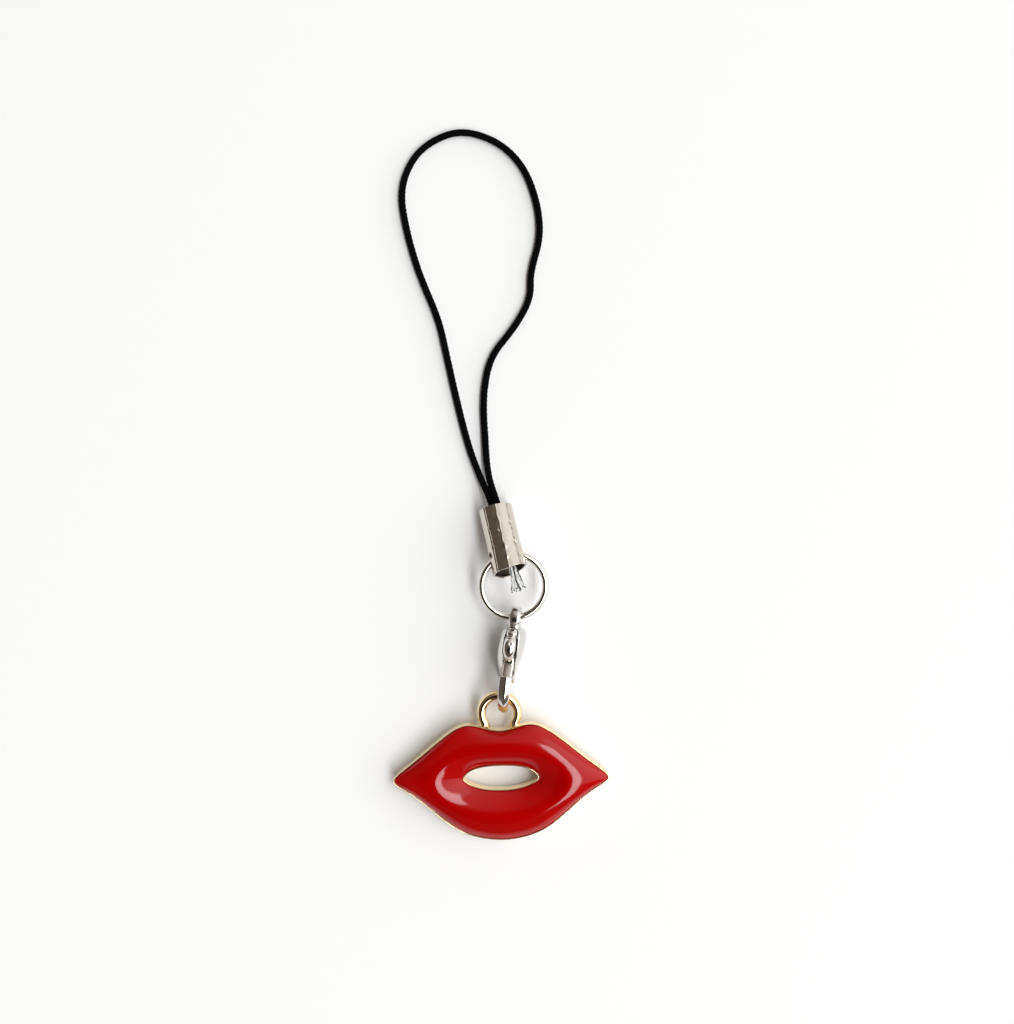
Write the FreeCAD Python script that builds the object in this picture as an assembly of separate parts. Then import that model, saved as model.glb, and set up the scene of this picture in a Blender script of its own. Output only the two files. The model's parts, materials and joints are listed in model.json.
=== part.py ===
import FreeCAD
import Part
import math
import os
from FreeCAD import Placement, Rotation, Vector

# A strap charm, lying flat on a table: a black cord loop, the crimp tube that holds its
# ends, a jump ring, a lobster clasp that stands on its spine, and a lips pendant with red enamel.
# Lengths are in millimetres and angles in degrees. +Z is up from the table, +Y runs from the pendant
# towards the cord loop, and the origin is on the table under the middle of the metal pieces.

# Cord loop: its route starts and ends inside the crimp tube
cord_diameter = 0.9
cord_route = [
    (-0.75, 18.8, 2.40),
    (-1.45, 21.3, 1.70),
    (-2.6, 24.0, 0.85),
    (-3.9, 27.8, 0.45),
    (-5.4, 33.6, 0.45),
    (-6.8, 39.9, 0.45),
    (-7.7, 44.0, 0.45),
    (-10.2, 49.7, 0.45),
    (-11.8, 55.3, 0.45),
    (-12.5, 59.9, 0.45),
    (-11.2, 63.7, 0.45),
    (-8.8, 66.1, 0.45),
    (-4.9, 67.6, 0.45),
    (-0.2, 66.1, 0.45),
    (3.0, 62.9, 0.45),
    (4.7, 58.2, 0.45),
    (5.0, 54.0, 0.45),
    (3.7, 49.8, 0.45),
    (3.8, 46.5, 0.45),
    (1.6, 42.7, 0.45),
    (-1.3, 39.3, 0.45),
    (-2.2, 34.3, 0.45),
    (-1.9, 28.9, 0.45),
    (-1.45, 24.7, 0.85),
    (-0.45, 21.5, 1.70),
    (0.3, 19.0, 2.40),
]

# Crimp tube: sheet rolled to eight flats, its seam below, its ring end lifted by the ring
crimp_across_corners = 4.2
crimp_length = 8.2
crimp_wall = 0.3
crimp_corner_radius = 0.35
crimp_seam_gap = 0.25
crimp_hole_diameter = 2.2
crimp_hole_from_mouth = 2.0
crimp_heading = 13.2
crimp_lift = 16.0
crimp_cord_end_x = -0.6
crimp_cord_end_y = 20.35

# Glue plug that holds the cord's ends in the crimp, and the frayed strands that hang out of it
plug_depth = 1.4
plug_to_ring = 1.1
plug_clearance = 0.02
strand_count = 5
strand_diameter = 0.22
strand_pitch = 0.27
strand_side_shift = 0.35
strand_top_gap = 0.2
strand_end_to_eye = 1.7
strand_fan = 1.7
strand_drop = 0.8

# Jump ring
ring_outer_diameter = 8.6
ring_wire = 0.8
ring_split = 0.08
ring_seat_gap = 0.3
ring_bearing_to_clasp = -11.5

# Lobster clasp: it stands on its spine, with its eye at one end and its hook at the other
clasp_heading = -7.1
clasp_roll = -6.5
eye_outer_diameter = 2.8
eye_hole_diameter = 1.5
eye_thickness = 1.35
eye_height = 3.0
belly_width = 3.2
belly_height = 5.6
belly_past_rivet = 4.6
slot_width = 1.45
hook_past_belly = 1.75
hook_outer_radius = 3.25
hook_thickness = 1.0
hook_width = 1.35
hook_edge_radius = 0.4
nose_length = 1.7

# Rivet, lever and spring of the clasp
rivet_diameter = 0.8
rivet_past_eye = 0.8
rivet_below_top = 1.2
rivet_clearance = 0.01
lever_side_gap = 0.1
lever_tip_width = 0.9
lever_boss_diameter = 1.7
lever_bore_clearance = 0.05
lever_thickness = 0.75
lever_tip_overlap = 0.7
lever_stop_gap = 0.08
nub_rise = 1.6
nub_length = 3.1
spring_wire = 0.18
spring_outer_diameter = 1.0
spring_past_rivet = 1.8
spring_turns = 5
spring_clearance = 0.03

# Pendant: metal tray in the outline of lips, with a loop, and domed enamel in the tray
lips_half_width = 13.3
lips_bow_height = 6.2
lips_peak_height = 6.9
lips_peak_offset = 3.2
lips_lower_depth = 7.6
mouth_half_width = 4.68
mouth_top = 1.75
mouth_bottom = 1.3
tray_height = 1.6
tray_floor = 0.8
tray_rim = 0.18
enamel_clearance = 0.02
enamel_dome = 1.25
loop_outer_diameter = 5.6
loop_wire = 1.2
loop_above_bow = 2.0
loop_back_gap = 0.15
loop_seat_gap = 0.32
loop_seat_angle = 25.0
loop_bearing_to_clasp = 19.0
pendant_heading = 1.3


X_AXIS = Vector(1, 0, 0)
Y_AXIS = Vector(0, 1, 0)
Z_AXIS = Vector(0, 0, 1)


def lay(position, heading, lift=0.0, roll=0.0):
    """Place a piece that points along its own -Y: heading turns it, lift raises its far end."""
    turned = Rotation(Z_AXIS, heading)
    lifted = Rotation(X_AXIS, -lift)
    rolled = Rotation(Y_AXIS, roll)
    return Placement(position, turned * lifted * rolled)


def placed(shape, placement):
    """A copy of a shape moved from its own frame to the table's."""
    moved = shape.copy()
    moved.Placement = placement.multiply(shape.Placement)
    return moved


def smooth_closed(points):
    """A closed smooth edge through the points, evenly spaced in its parameter."""
    curve = Part.BSplineCurve()
    steps = [i / len(points) for i in range(len(points) + 1)]
    curve.interpolate(Points=points, PeriodicFlag=True, Parameters=steps)
    return curve


def smooth_open(points):
    """An open smooth curve through the points."""
    curve = Part.BSplineCurve()
    curve.interpolate(Points=points)
    return curve


def rounded_path(points, name):
    """Straight runs joined by tangent arcs, each as large as its two runs allow."""
    edges = []
    start = points[0]
    radii = []
    for before, corner, after in zip(points, points[1:], points[2:]):
        back = before - corner
        ahead = after - corner
        trim = 0.45 * min(back.Length, ahead.Length)
        half_turn = (math.pi - back.getAngle(ahead)) / 2
        radius = trim / math.tan(half_turn)
        radii.append(round(radius, 1))
        back.normalize()
        ahead.normalize()
        inward = back + ahead
        inward.normalize()
        middle = corner + inward * (radius / math.cos(half_turn) - radius)
        arc_start = corner + back * trim
        arc_end = corner + ahead * trim
        edges.append(Part.LineSegment(start, arc_start).toShape())
        edges.append(Part.Arc(arc_start, middle, arc_end).toShape())
        start = arc_end
    edges.append(Part.LineSegment(start, points[-1]).toShape())
    print(name, "bend radii", radii)
    return Part.Wire(edges)


def tube(path, diameter):
    """A round solid along a path."""
    first = path.OrderedEdges[0]
    along = first.tangentAt(first.FirstParameter)
    section = Part.Wire(Part.makeCircle(diameter / 2, path.OrderedVertexes[0].Point, along))
    return path.makePipeShell([section], True, False)


def octagon_prism(across_corners, corner_radius, start, length):
    """An eight-sided bar along -Y with rounded corners, one corner on top."""
    radius = across_corners / 2
    corners = []
    for k in range(9):
        angle = math.radians(45 * k)
        corners.append(Vector(radius * math.cos(angle), -start, radius * math.sin(angle)))
    bar = Part.Face(Part.makePolygon(corners)).extrude(Vector(0, -length, 0))
    long_edges = []
    for edge in bar.Edges:
        ends = edge.Vertexes[1].Point - edge.Vertexes[0].Point
        if abs(ends.y) > length / 2:
            long_edges.append(edge)
    return bar.makeFillet(corner_radius, long_edges)


# Crimp tube, plug and strands, in the crimp's own frame: its cord end is at the origin

crimp_radius = crimp_across_corners / 2
flat_angle = math.radians(22.5)
crimp_inside_across = crimp_across_corners - 2 * crimp_wall / math.cos(flat_angle)
crimp_inside_corner_radius = crimp_corner_radius - crimp_wall / 2
crimp_hole_from_cord_end = crimp_length - crimp_hole_from_mouth

# The jump ring crosses the tube through its side holes, between the plug and the strands' ends

ring_radius = (ring_outer_diameter - ring_wire) / 2
ring_half_chord = crimp_radius - crimp_wall / 2
ring_chord_height = math.sqrt(ring_radius ** 2 - ring_half_chord ** 2)
ring_chord = crimp_hole_from_cord_end + (crimp_hole_diameter - ring_wire) / 2 - ring_seat_gap
ring_inner_end = ring_chord + ring_chord_height - ring_radius - ring_wire / 2
ring_outer_end = ring_chord + ring_chord_height + ring_radius
plug_end = ring_inner_end - plug_to_ring
strand_end = ring_outer_end - eye_outer_diameter / 2 - strand_end_to_eye


def rest_height(shape, rotation):
    """How far a turned piece's own origin stands above the table that it rests on."""
    return -placed(shape, Placement(Vector(0, 0, 0), rotation)).optimalBoundingBox(False).ZMin


def cast_crimp():
    """Rolled tube with an open seam below and two side holes for the jump ring."""
    outside = octagon_prism(crimp_across_corners, crimp_corner_radius, 0, crimp_length)
    inside = octagon_prism(crimp_inside_across, crimp_inside_corner_radius, 0, crimp_length)
    seam = Part.makeBox(
        crimp_seam_gap, crimp_length, crimp_radius,
        Vector(-crimp_seam_gap / 2, -crimp_length, -crimp_radius),
    )
    holes = Part.makeCylinder(
        crimp_hole_diameter / 2, crimp_across_corners,
        Vector(-crimp_radius, -crimp_hole_from_cord_end, 0), X_AXIS,
    )
    return outside.cut([inside, seam, holes])


crimp = cast_crimp()
crimp_rotation = lay(Vector(0, 0, 0), crimp_heading, crimp_lift).Rotation
crimp_rest_height = rest_height(crimp, crimp_rotation)
crimp_place = Placement(
    Vector(crimp_cord_end_x, crimp_cord_end_y, crimp_rest_height), crimp_rotation
)


def make_crimp():
    """The crimp tube where it lies."""
    return placed(crimp, crimp_place)


def make_plug():
    """Hardened glue that fills the tube round the cord's ends."""
    across = crimp_inside_across - 2 * plug_clearance / math.cos(flat_angle)
    plug = octagon_prism(across, crimp_inside_corner_radius, plug_depth, plug_end - plug_depth)
    return placed(plug, crimp_place)


def make_strands():
    """Frayed ends of the cord, from the plug over the jump ring and out of the tube's mouth."""
    strands = []
    for i in range(strand_count):
        side = strand_side_shift + strand_pitch * (i - (strand_count - 1) / 2)
        roof = crimp_inside_across / 2 - abs(side) * math.tan(flat_angle)
        height = roof - strand_diameter / 2 - strand_top_gap
        fanned = strand_side_shift + strand_fan * (side - strand_side_shift)
        points = [
            Vector(side, -plug_end, height),
            Vector(side, -crimp_length, height),
            Vector(fanned, -strand_end, height - strand_drop),
        ]
        path = rounded_path(points, "strand")
        strands.append(tube(path, strand_diameter))
    return placed(Part.makeCompound(strands), crimp_place)


def make_cord():
    """One tube from end to end of the loop."""
    path = rounded_path([Vector(*point) for point in cord_route], "cord")
    cord = tube(path, cord_diameter)
    section = math.pi * cord_diameter ** 2 / 4
    print("cord length", round(path.Length, 1), "volume over section", round(cord.Volume / section, 1))
    return cord


# Lobster clasp, in its own frame: its eye end is at y = 0 and its spine at z = 0

eye_centre = eye_outer_diameter / 2
rivet_from_eye_end = eye_outer_diameter + rivet_past_eye
rivet_height = belly_height - rivet_below_top
spring_from_eye_end = rivet_from_eye_end + spring_past_rivet
belly_end = rivet_from_eye_end + belly_past_rivet
hook_centre = belly_end + hook_past_belly
hook_inner_radius = hook_outer_radius - hook_thickness
nose_tip = hook_centre - nose_length
lever_width = slot_width - 2 * lever_side_gap
lever_top = 2 * hook_outer_radius - hook_thickness - lever_stop_gap
lever_tip = nose_tip + lever_tip_overlap
lever_seat = rivet_height - lever_boss_diameter / 4
nub_start = rivet_from_eye_end + lever_boss_diameter / 8
nub_height = lever_top + nub_rise


def across(face, width):
    """A face in the middle plane, thickened equally to both sides."""
    shifted = face.copy()
    shifted.translate(Vector(-width / 2, 0, 0))
    return shifted.extrude(Vector(width, 0, 0))


def disc(length, height, diameter, width):
    """A round plate across the clasp."""
    return Part.makeCylinder(diameter / 2, width, Vector(-width / 2, -length, height), X_AXIS)


def hook_section():
    """The rounded section of the hook at its lowest point, as a face across the spine."""
    half = hook_width / 2 - hook_edge_radius
    low = hook_edge_radius
    high = hook_thickness - hook_edge_radius
    arcs = []
    for x, z, start in [(half, high, 0), (-half, high, 90), (-half, low, 180), (half, low, 270)]:
        centre = Vector(x, -hook_centre, z)
        arcs.append(Part.makeCircle(hook_edge_radius, centre, -Y_AXIS, start, start + 90))
    outline = []
    for arc, following in zip(arcs, arcs[1:] + arcs[:1]):
        outline.append(arc)
        outline.append(Part.makeLine(arc.Vertexes[-1].Point, following.Vertexes[0].Point))
    return Part.Face(Part.Wire(outline))


def make_hook():
    """Spine, bend and nose as one rounded bar."""
    section = hook_section()
    centre = Vector(0, -hook_centre, hook_outer_radius)
    bend = section.revolve(centre, -X_AXIS, 180)
    spine = section.extrude(Vector(0, hook_centre - belly_end + hook_thickness, 0))
    top = section.copy()
    top.rotate(centre, X_AXIS, 180)
    nose = top.extrude(Vector(0, nose_length, 0))
    return bend.fuse([spine, nose]).removeSplitter()


def belly_ring(length, low, high, half_width):
    """One oval section of the belly, as an upper and a lower half."""
    middle = (low + high) / 2
    half_height = (high - low) / 2
    halves = []
    for first in (0, 180):
        points = []
        for turn in range(first, first + 181, 30):
            side = half_width * math.cos(math.radians(turn))
            height = middle + half_height * math.sin(math.radians(turn))
            points.append(Vector(side, -length, height))
        upwards = Z_AXIS if first == 0 else -Z_AXIS
        curve = Part.BSplineCurve()
        curve.interpolate(
            Points=points, InitialTangent=upwards * half_height, FinalTangent=-upwards * half_height
        )
        halves.append(curve.toShape())
    return Part.Wire(halves)


def make_belly():
    """Full rounded middle of the clasp, before the slot is cut."""
    neck = (eye_outer_diameter - eye_hole_diameter) / 2
    eye_end = eye_outer_diameter - neck / 2
    half = belly_width / 2
    return Part.makeLoft([
        belly_ring(eye_end, eye_height - neck, eye_height + neck, 0.45 * eye_thickness),
        belly_ring(rivet_from_eye_end - neck, 0.4 * eye_height, 0.84 * belly_height, 0.75 * half),
        belly_ring(rivet_from_eye_end + neck, 0.04 * eye_height, belly_height, half),
        belly_ring((rivet_from_eye_end + belly_end) / 2, 0, 0.92 * belly_height, 0.97 * half),
        belly_ring(belly_end, 0.08 * hook_thickness, 0.5 * belly_height, 0.64 * half),
    ], True)


belly = make_belly()


def plan_prism(half_outline):
    """A tall block with a smooth outline seen from above, from (length, half width) points."""
    right = smooth_open([Vector(half, -length, 0) for length, half in half_outline])
    left = smooth_open([Vector(-half, -length, 0) for length, half in reversed(half_outline)])
    edges = [
        right.toShape(),
        Part.LineSegment(right.EndPoint, left.StartPoint).toShape(),
        left.toShape(),
        Part.LineSegment(left.EndPoint, right.StartPoint).toShape(),
    ]
    return Part.Face(Part.Wire(edges)).extrude(Vector(0, 0, 2 * nub_height))


def leaf_prism(side_gap):
    """The lever's leaf outline seen from above, wider by a gap on each side, as a tall block."""
    wide = lever_width / 2 + side_gap
    narrow = lever_tip_width / 2 + side_gap
    return plan_prism([
        (0, wide),
        (nub_start + nub_length / 4, wide),
        (nub_start + nub_length, narrow),
        (hook_centre, narrow),
    ])


def make_eye():
    """Ring at the clasp's end, its edges well rounded."""
    plate = disc(eye_centre, eye_height, eye_outer_diameter, eye_thickness)
    hole = disc(eye_centre, eye_height, eye_hole_diameter, 2 * eye_thickness)
    ring = plate.cut(hole)
    rims = [edge for edge in ring.Edges if edge.isClosed() and len(edge.Vertexes) == 1]
    return ring.makeFillet(0.2 * (eye_outer_diameter - eye_hole_diameter), rims)


def cast_clasp_body():
    """Eye, belly and hook in one casting, with the slot for the lever and a bore for the rivet."""
    body = belly.fuse([make_eye(), make_hook()]).removeSplitter()
    slot_start = rivet_from_eye_end - lever_boss_diameter / 2 - 2 * lever_bore_clearance
    slot_end = belly_end + lever_side_gap
    slot = Part.makeBox(
        slot_width, slot_end - slot_start, nub_height,
        Vector(-slot_width / 2, -slot_end, hook_thickness),
    )
    bore = disc(rivet_from_eye_end, rivet_height, rivet_diameter + 2 * rivet_clearance, 2 * belly_width)
    return body.cut([slot.common(leaf_prism(lever_side_gap)), bore])


clasp_body = cast_clasp_body()
clasp_rotation = lay(Vector(0, 0, 0), clasp_heading, 0, clasp_roll).Rotation
wire_in_eye = clasp_rotation.multVec(Vector(0, -eye_centre, eye_height))
eye_above_table = wire_in_eye.z + rest_height(clasp_body, clasp_rotation)


# Jump ring: it hangs in the crimp's side holes, and its far side lies in the clasp's eye

ring_pivot = crimp_place.multVec(Vector(0, -ring_chord, 0))
ring_pivot_axis = crimp_place.Rotation.multVec(X_AXIS)

bearing = math.radians(ring_bearing_to_clasp)
ring_span = ring_chord_height + ring_radius * math.cos(bearing)
ring_drop = math.degrees(math.asin((ring_pivot.z - eye_above_table) / ring_span))
ring_rotation = lay(Vector(0, 0, 0), crimp_heading, -ring_drop).Rotation
ring_centre = ring_pivot + ring_rotation.multVec(Vector(0, -ring_chord_height, 0))
ring_place = Placement(ring_centre, ring_rotation)


def on_ring(angle):
    """The point on the wire's centre line at an angle from the clasp end, in the table's frame."""
    return ring_place.multVec(Vector(math.sin(angle), -math.cos(angle), 0) * ring_radius)


clasp_pivot = on_ring(bearing)
clasp_pivot_axis = ring_rotation.multVec(Vector(math.cos(bearing), math.sin(bearing), 0))
clasp_place = Placement(clasp_pivot - wire_in_eye, clasp_rotation)


def make_ring():
    """Round wire ring, with its split inside the crimp tube."""
    ring = Part.makeTorus(ring_radius, ring_wire / 2)
    split = Part.makeBox(
        ring_split, 2 * ring_wire, 2 * ring_wire,
        Vector(-ring_split / 2, ring_radius - ring_wire, -ring_wire),
    )
    return placed(ring.cut(split), ring_place)


# The clasp and its own pieces where they lie


def make_clasp_body():
    """The clasp's casting where it lies."""
    return placed(clasp_body, clasp_place)


def make_rivet():
    """Plain pin through both cheeks, ground flush with them."""
    pin = disc(rivet_from_eye_end, rivet_height, rivet_diameter, 2 * belly_width)
    return placed(pin.common(belly), clasp_place)


def make_lever():
    """Thumb lever: a boss on the rivet, a nub above the cheeks and a gate that closes the hook."""
    top = smooth_open([
        Vector(0, -(rivet_from_eye_end - lever_boss_diameter / 2), rivet_height),
        Vector(0, -nub_start, nub_height - lever_thickness / 2),
        Vector(0, -(nub_start + nub_length / 4), nub_height),
        Vector(0, -(nub_start + 0.7 * nub_length), (nub_height + lever_top) / 2),
        Vector(0, -(nub_start + nub_length), lever_top + lever_thickness / 4),
        Vector(0, -nose_tip, lever_top),
    ])
    tip_top = Vector(0, -lever_tip, lever_top)
    tip_low = Vector(0, -lever_tip, lever_top - lever_thickness)
    seat_far = Vector(0, -(spring_from_eye_end + spring_outer_diameter), lever_seat)
    seat_near = Vector(0, -rivet_from_eye_end, lever_seat)
    edges = [
        top.toShape(),
        Part.LineSegment(top.EndPoint, tip_top).toShape(),
        Part.LineSegment(tip_top, tip_low).toShape(),
        Part.LineSegment(tip_low, seat_far).toShape(),
        Part.LineSegment(seat_far, seat_near).toShape(),
        Part.LineSegment(seat_near, top.StartPoint).toShape(),
    ]
    arm = across(Part.Face(Part.Wire(edges)), lever_width).common(leaf_prism(0))
    boss = disc(rivet_from_eye_end, rivet_height, lever_boss_diameter, lever_width)
    bore = disc(
        rivet_from_eye_end, rivet_height, rivet_diameter + 2 * lever_bore_clearance, 2 * lever_width
    )
    return placed(arm.fuse(boss).removeSplitter().cut(bore), clasp_place)


def make_spring():
    """Small coil that pushes the lever shut, between the spine and the lever's seat."""
    free_height = lever_seat - hook_thickness - 2 * spring_clearance
    coil_height = free_height - spring_wire
    coil_radius = (spring_outer_diameter - spring_wire) / 2
    helix = Part.makeHelix(coil_height / spring_turns, coil_height, coil_radius)
    helix_start = Vector(coil_radius, 0, 0)
    section = Part.Wire(Part.makeCircle(spring_wire / 2, helix_start, Y_AXIS))
    coil = Part.Wire(helix.Edges).makePipeShell([section], True, True)
    foot = hook_thickness + spring_clearance + spring_wire / 2
    coil.translate(Vector(0, -spring_from_eye_end, foot))
    return placed(coil, clasp_place)


# Pendant, in its own frame: its back is at z = 0 and the corners of the lips at y = 0

loop_radius = (loop_outer_diameter - loop_wire) / 2
loop_height = loop_back_gap + loop_wire / 2
loop_centre_height = lips_bow_height + loop_above_bow
loop_bearing = math.radians(loop_bearing_to_clasp)
wire_in_hook = Vector(
    loop_radius * math.sin(loop_bearing),
    loop_centre_height + loop_radius * math.cos(loop_bearing),
    loop_height,
)
seat_radius = hook_inner_radius - loop_wire / 2 - loop_seat_gap
seat_angle = math.radians(loop_seat_angle)
pendant_pivot = clasp_place.multVec(Vector(
    0,
    -hook_centre - seat_radius * math.cos(seat_angle),
    hook_outer_radius - seat_radius * math.sin(seat_angle),
))
pendant_span = wire_in_hook.y + lips_lower_depth
pendant_lift = math.asin(pendant_pivot.z / math.hypot(pendant_span, loop_height))
pendant_lift -= math.atan2(loop_height, pendant_span)
pendant_rotation = lay(Vector(0, 0, 0), pendant_heading, -math.degrees(pendant_lift)).Rotation
pendant_place = Placement(
    pendant_pivot - pendant_rotation.multVec(wire_in_hook), pendant_rotation
)
pendant_pivot_axis = pendant_rotation.multVec(
    Vector(math.cos(loop_bearing), -math.sin(loop_bearing), 0)
)


def mirrored(half):
    """A whole outline from its right half, which starts at the top and ends at the bottom."""
    left = [(-x, y) for x, y in reversed(half[1:-1])]
    return [Vector(x, y, 0) for x, y in half + left]


def lips_outline():
    """Outline of the pendant, from the cupid's bow round both corners."""
    wide = lips_half_width
    peak = lips_peak_height
    low = lips_lower_depth
    return smooth_closed(mirrored([
        (0, lips_bow_height),
        (lips_peak_offset, peak),
        (0.43 * wide, 0.92 * peak),
        (0.64 * wide, 0.62 * peak),
        (0.86 * wide, 0.27 * peak),
        (wide, 0),
        (0.86 * wide, -0.2 * low),
        (0.66 * wide, -0.48 * low),
        (0.43 * wide, -0.8 * low),
        (0.2 * wide, -0.96 * low),
        (0, -low),
    ]))


def mouth_outline():
    """Outline of the opening between the lips, with one point for each point of the lips."""
    wide = mouth_half_width
    return smooth_closed(mirrored([
        (0, mouth_top),
        (0.3 * wide, 0.97 * mouth_top),
        (0.58 * wide, 0.86 * mouth_top),
        (0.79 * wide, 0.67 * mouth_top),
        (0.93 * wide, 0.4 * mouth_top),
        (wide, 0.1 * mouth_top),
        (0.93 * wide, -0.2 * mouth_bottom),
        (0.79 * wide, -0.5 * mouth_bottom),
        (0.58 * wide, -0.77 * mouth_bottom),
        (0.3 * wide, -0.95 * mouth_bottom),
        (0, -mouth_bottom),
    ]))


def inset(curve, distance, samples):
    """Points beside a closed curve that runs clockwise, to its right for a positive distance."""
    points = []
    for i in range(samples):
        step = i / samples
        along = curve.tangent(step)[0]
        points.append(curve.value(step) + Vector(along.y, -along.x, 0) * distance)
    return points


outline_point_count = 66
dome_span_count = 10


def raised(curve, height):
    """The edge of a flat curve, lifted to a height."""
    edge = curve.toShape()
    edge.translate(Vector(0, 0, height))
    return edge


def ring_slab(outer, inner, low, high):
    """A flat slab between two closed curves."""
    face = Part.Face([Part.Wire(raised(outer, low)), Part.Wire(raised(inner, low)).reversed()])
    face.validate()
    return face.extrude(Vector(0, 0, high - low))


def make_tray():
    """Metal body of the pendant: a tray with a rim round the lips and the mouth, and the loop."""
    lips = lips_outline()
    mouth = mouth_outline()
    body = ring_slab(lips, mouth, 0, tray_height)
    loop = Part.makeTorus(loop_radius, loop_wire / 2, Vector(0, loop_centre_height, loop_height))
    pocket = ring_slab(
        smooth_closed(inset(lips, tray_rim, outline_point_count)),
        smooth_closed(inset(mouth, -tray_rim, outline_point_count)),
        tray_floor, tray_height + loop_wire,
    )
    return placed(body.fuse(loop).cut(pocket), pendant_place)


def make_enamel():
    """Domed enamel that fills the tray, highest along the middle of each lip."""
    outer = inset(lips_outline(), tray_rim + enamel_clearance, outline_point_count)
    inner = inset(mouth_outline(), -tray_rim - enamel_clearance, outline_point_count)
    rows = []
    for start, end in zip(outer + outer[:1], inner + inner[:1]):
        row = []
        for j in range(dome_span_count + 1):
            across_lip = (1 - math.cos(math.pi * j / dome_span_count)) / 2
            swell = math.sin(math.pi * j / dome_span_count)
            point = start + (end - start) * across_lip
            row.append(point + Vector(0, 0, tray_height + enamel_dome * swell))
        rows.append(row)
    dome = Part.BSplineSurface()
    dome.interpolate(rows)
    top = dome.toShape()
    floor = tray_floor + enamel_clearance
    down = Vector(0, 0, floor - tray_height)
    rims = [dome.vIso(dome.bounds()[2]).toShape(), dome.vIso(dome.bounds()[3]).toShape()]
    walls = [rim.extrude(down) for rim in rims]
    lower = []
    for rim in rims:
        edge = rim.copy()
        edge.translate(down)
        lower.append(edge)
    base = Part.makeRuledSurface(lower[0], lower[1])
    shell = Part.makeShell([top, base] + walls)
    shell.sewShape()
    enamel = Part.makeSolid(shell)
    if enamel.Volume < 0:
        enamel.reverse()
    return placed(enamel, pendant_place)


nodes = {
    "cord_loop": make_cord,
    "cord_end_plug": make_plug,
    "cord_tails": make_strands,
    "crimp_tube": make_crimp,
    "jump_ring": make_ring,
    "clasp_body": make_clasp_body,
    "clasp_rivet": make_rivet,
    "clasp_lever": make_lever,
    "clasp_spring": make_spring,
    "charm_base": make_tray,
    "charm_enamel": make_enamel,
}

os.makedirs("parts", exist_ok=True)
for name, make in nodes.items():
    shape = make()
    shape.exportStep("parts/" + name + ".step")
    box = shape.BoundBox
    print(
        name, "valid", shape.isValid(), "solids", len(shape.Solids), "volume", round(shape.Volume, 3),
        "x", round(box.XMin, 2), round(box.XMax, 2), "y", round(box.YMin, 2), round(box.YMax, 2),
        "z", round(box.ZMin, 2), round(box.ZMax, 2),
    )
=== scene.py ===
# %% [markdown]
# # A strap charm, piece by piece
# The object is a small charm on a strap. A loop of black braided cord hangs it up, a crimp tube of
# nickel-plated sheet holds the cord's two ends, and a jump ring and a lobster clasp carry a pendant of
# red enamel lips. Everything lies flat on a white table and is seen straight from above.
#
# The measured model comes first. It says where each piece sits, which way it turns and how large it is,
# so that later pieces are worked out from it and not placed by eye.

# %% Load the measured model
import json
from math import acos, atan2, copysign, cos, degrees, exp, hypot, pi, radians, sin

import bmesh
import bpy
import numpy as np
from mathutils import Matrix, Quaternion, Vector, noise


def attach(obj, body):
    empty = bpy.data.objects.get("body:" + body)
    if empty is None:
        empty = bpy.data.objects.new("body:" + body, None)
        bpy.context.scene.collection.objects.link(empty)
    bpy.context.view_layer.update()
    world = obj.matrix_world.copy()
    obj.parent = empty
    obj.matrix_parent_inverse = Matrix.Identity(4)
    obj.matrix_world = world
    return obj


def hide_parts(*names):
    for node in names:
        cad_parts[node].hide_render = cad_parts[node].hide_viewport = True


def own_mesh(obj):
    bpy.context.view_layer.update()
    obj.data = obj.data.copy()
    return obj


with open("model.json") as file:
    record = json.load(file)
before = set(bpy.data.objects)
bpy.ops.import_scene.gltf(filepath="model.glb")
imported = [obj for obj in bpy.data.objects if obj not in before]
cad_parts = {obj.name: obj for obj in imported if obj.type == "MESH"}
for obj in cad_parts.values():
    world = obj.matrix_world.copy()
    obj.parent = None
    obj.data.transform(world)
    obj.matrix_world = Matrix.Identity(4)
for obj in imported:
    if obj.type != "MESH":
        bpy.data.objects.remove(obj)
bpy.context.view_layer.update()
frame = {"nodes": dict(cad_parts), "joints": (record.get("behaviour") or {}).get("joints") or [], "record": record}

MM = 0.001
joints = {joint["name"]: joint for joint in frame["joints"]}
mounts = {mount["name"]: mount for mount in frame["record"]["mounts"]}

# %% [markdown]
# ## Camera
# The photograph looks straight down, with the cord at the top of the picture. At the table one pixel is
# an eighth of a millimetre, and the camera stands about 15 cm up. The lens follows from these two
# numbers.

# %% Camera
IMAGE_HEIGHT = 1024
PIXEL = 0.125 * MM
SENSOR = 36
CAMERA_PLACE = Vector((0.81, 19.94, 154)) * MM


def adjust(thing, **settings):
    """Set several settings of a thing."""
    for key, value in settings.items():
        setattr(thing, key, value)
    return thing


def show(name, data):
    """Put an object with the given data into the scene."""
    holder = bpy.data.objects.new(name, data)
    bpy.context.scene.collection.objects.link(holder)
    return holder


lens = SENSOR * CAMERA_PLACE.z / (IMAGE_HEIGHT * PIXEL)
camera_data = adjust(bpy.data.cameras.new("camera"), sensor_width=SENSOR, lens=lens, clip_start=10 * MM)
camera = adjust(show("camera", camera_data), location=CAMERA_PLACE)
bpy.context.scene.camera = camera
bpy.context.scene.view_settings.view_transform = "Standard"
print("lens, mm:", round(lens, 2))

# %% [markdown]
# ## Node helpers
# Materials, the room and the shapes that repeat are built from nodes. Short functions add a node, fill
# its inputs and hand on an output, so that a tree reads as a list.

# %% Node helpers
def fill(tree, node, inputs):
    """Fill a node's inputs with values or with other nodes' outputs."""
    for key, value in inputs.items():
        if isinstance(value, bpy.types.NodeSocket):
            tree.links.new(value, node.inputs[key])
        else:
            node.inputs[key].default_value = value


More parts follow.
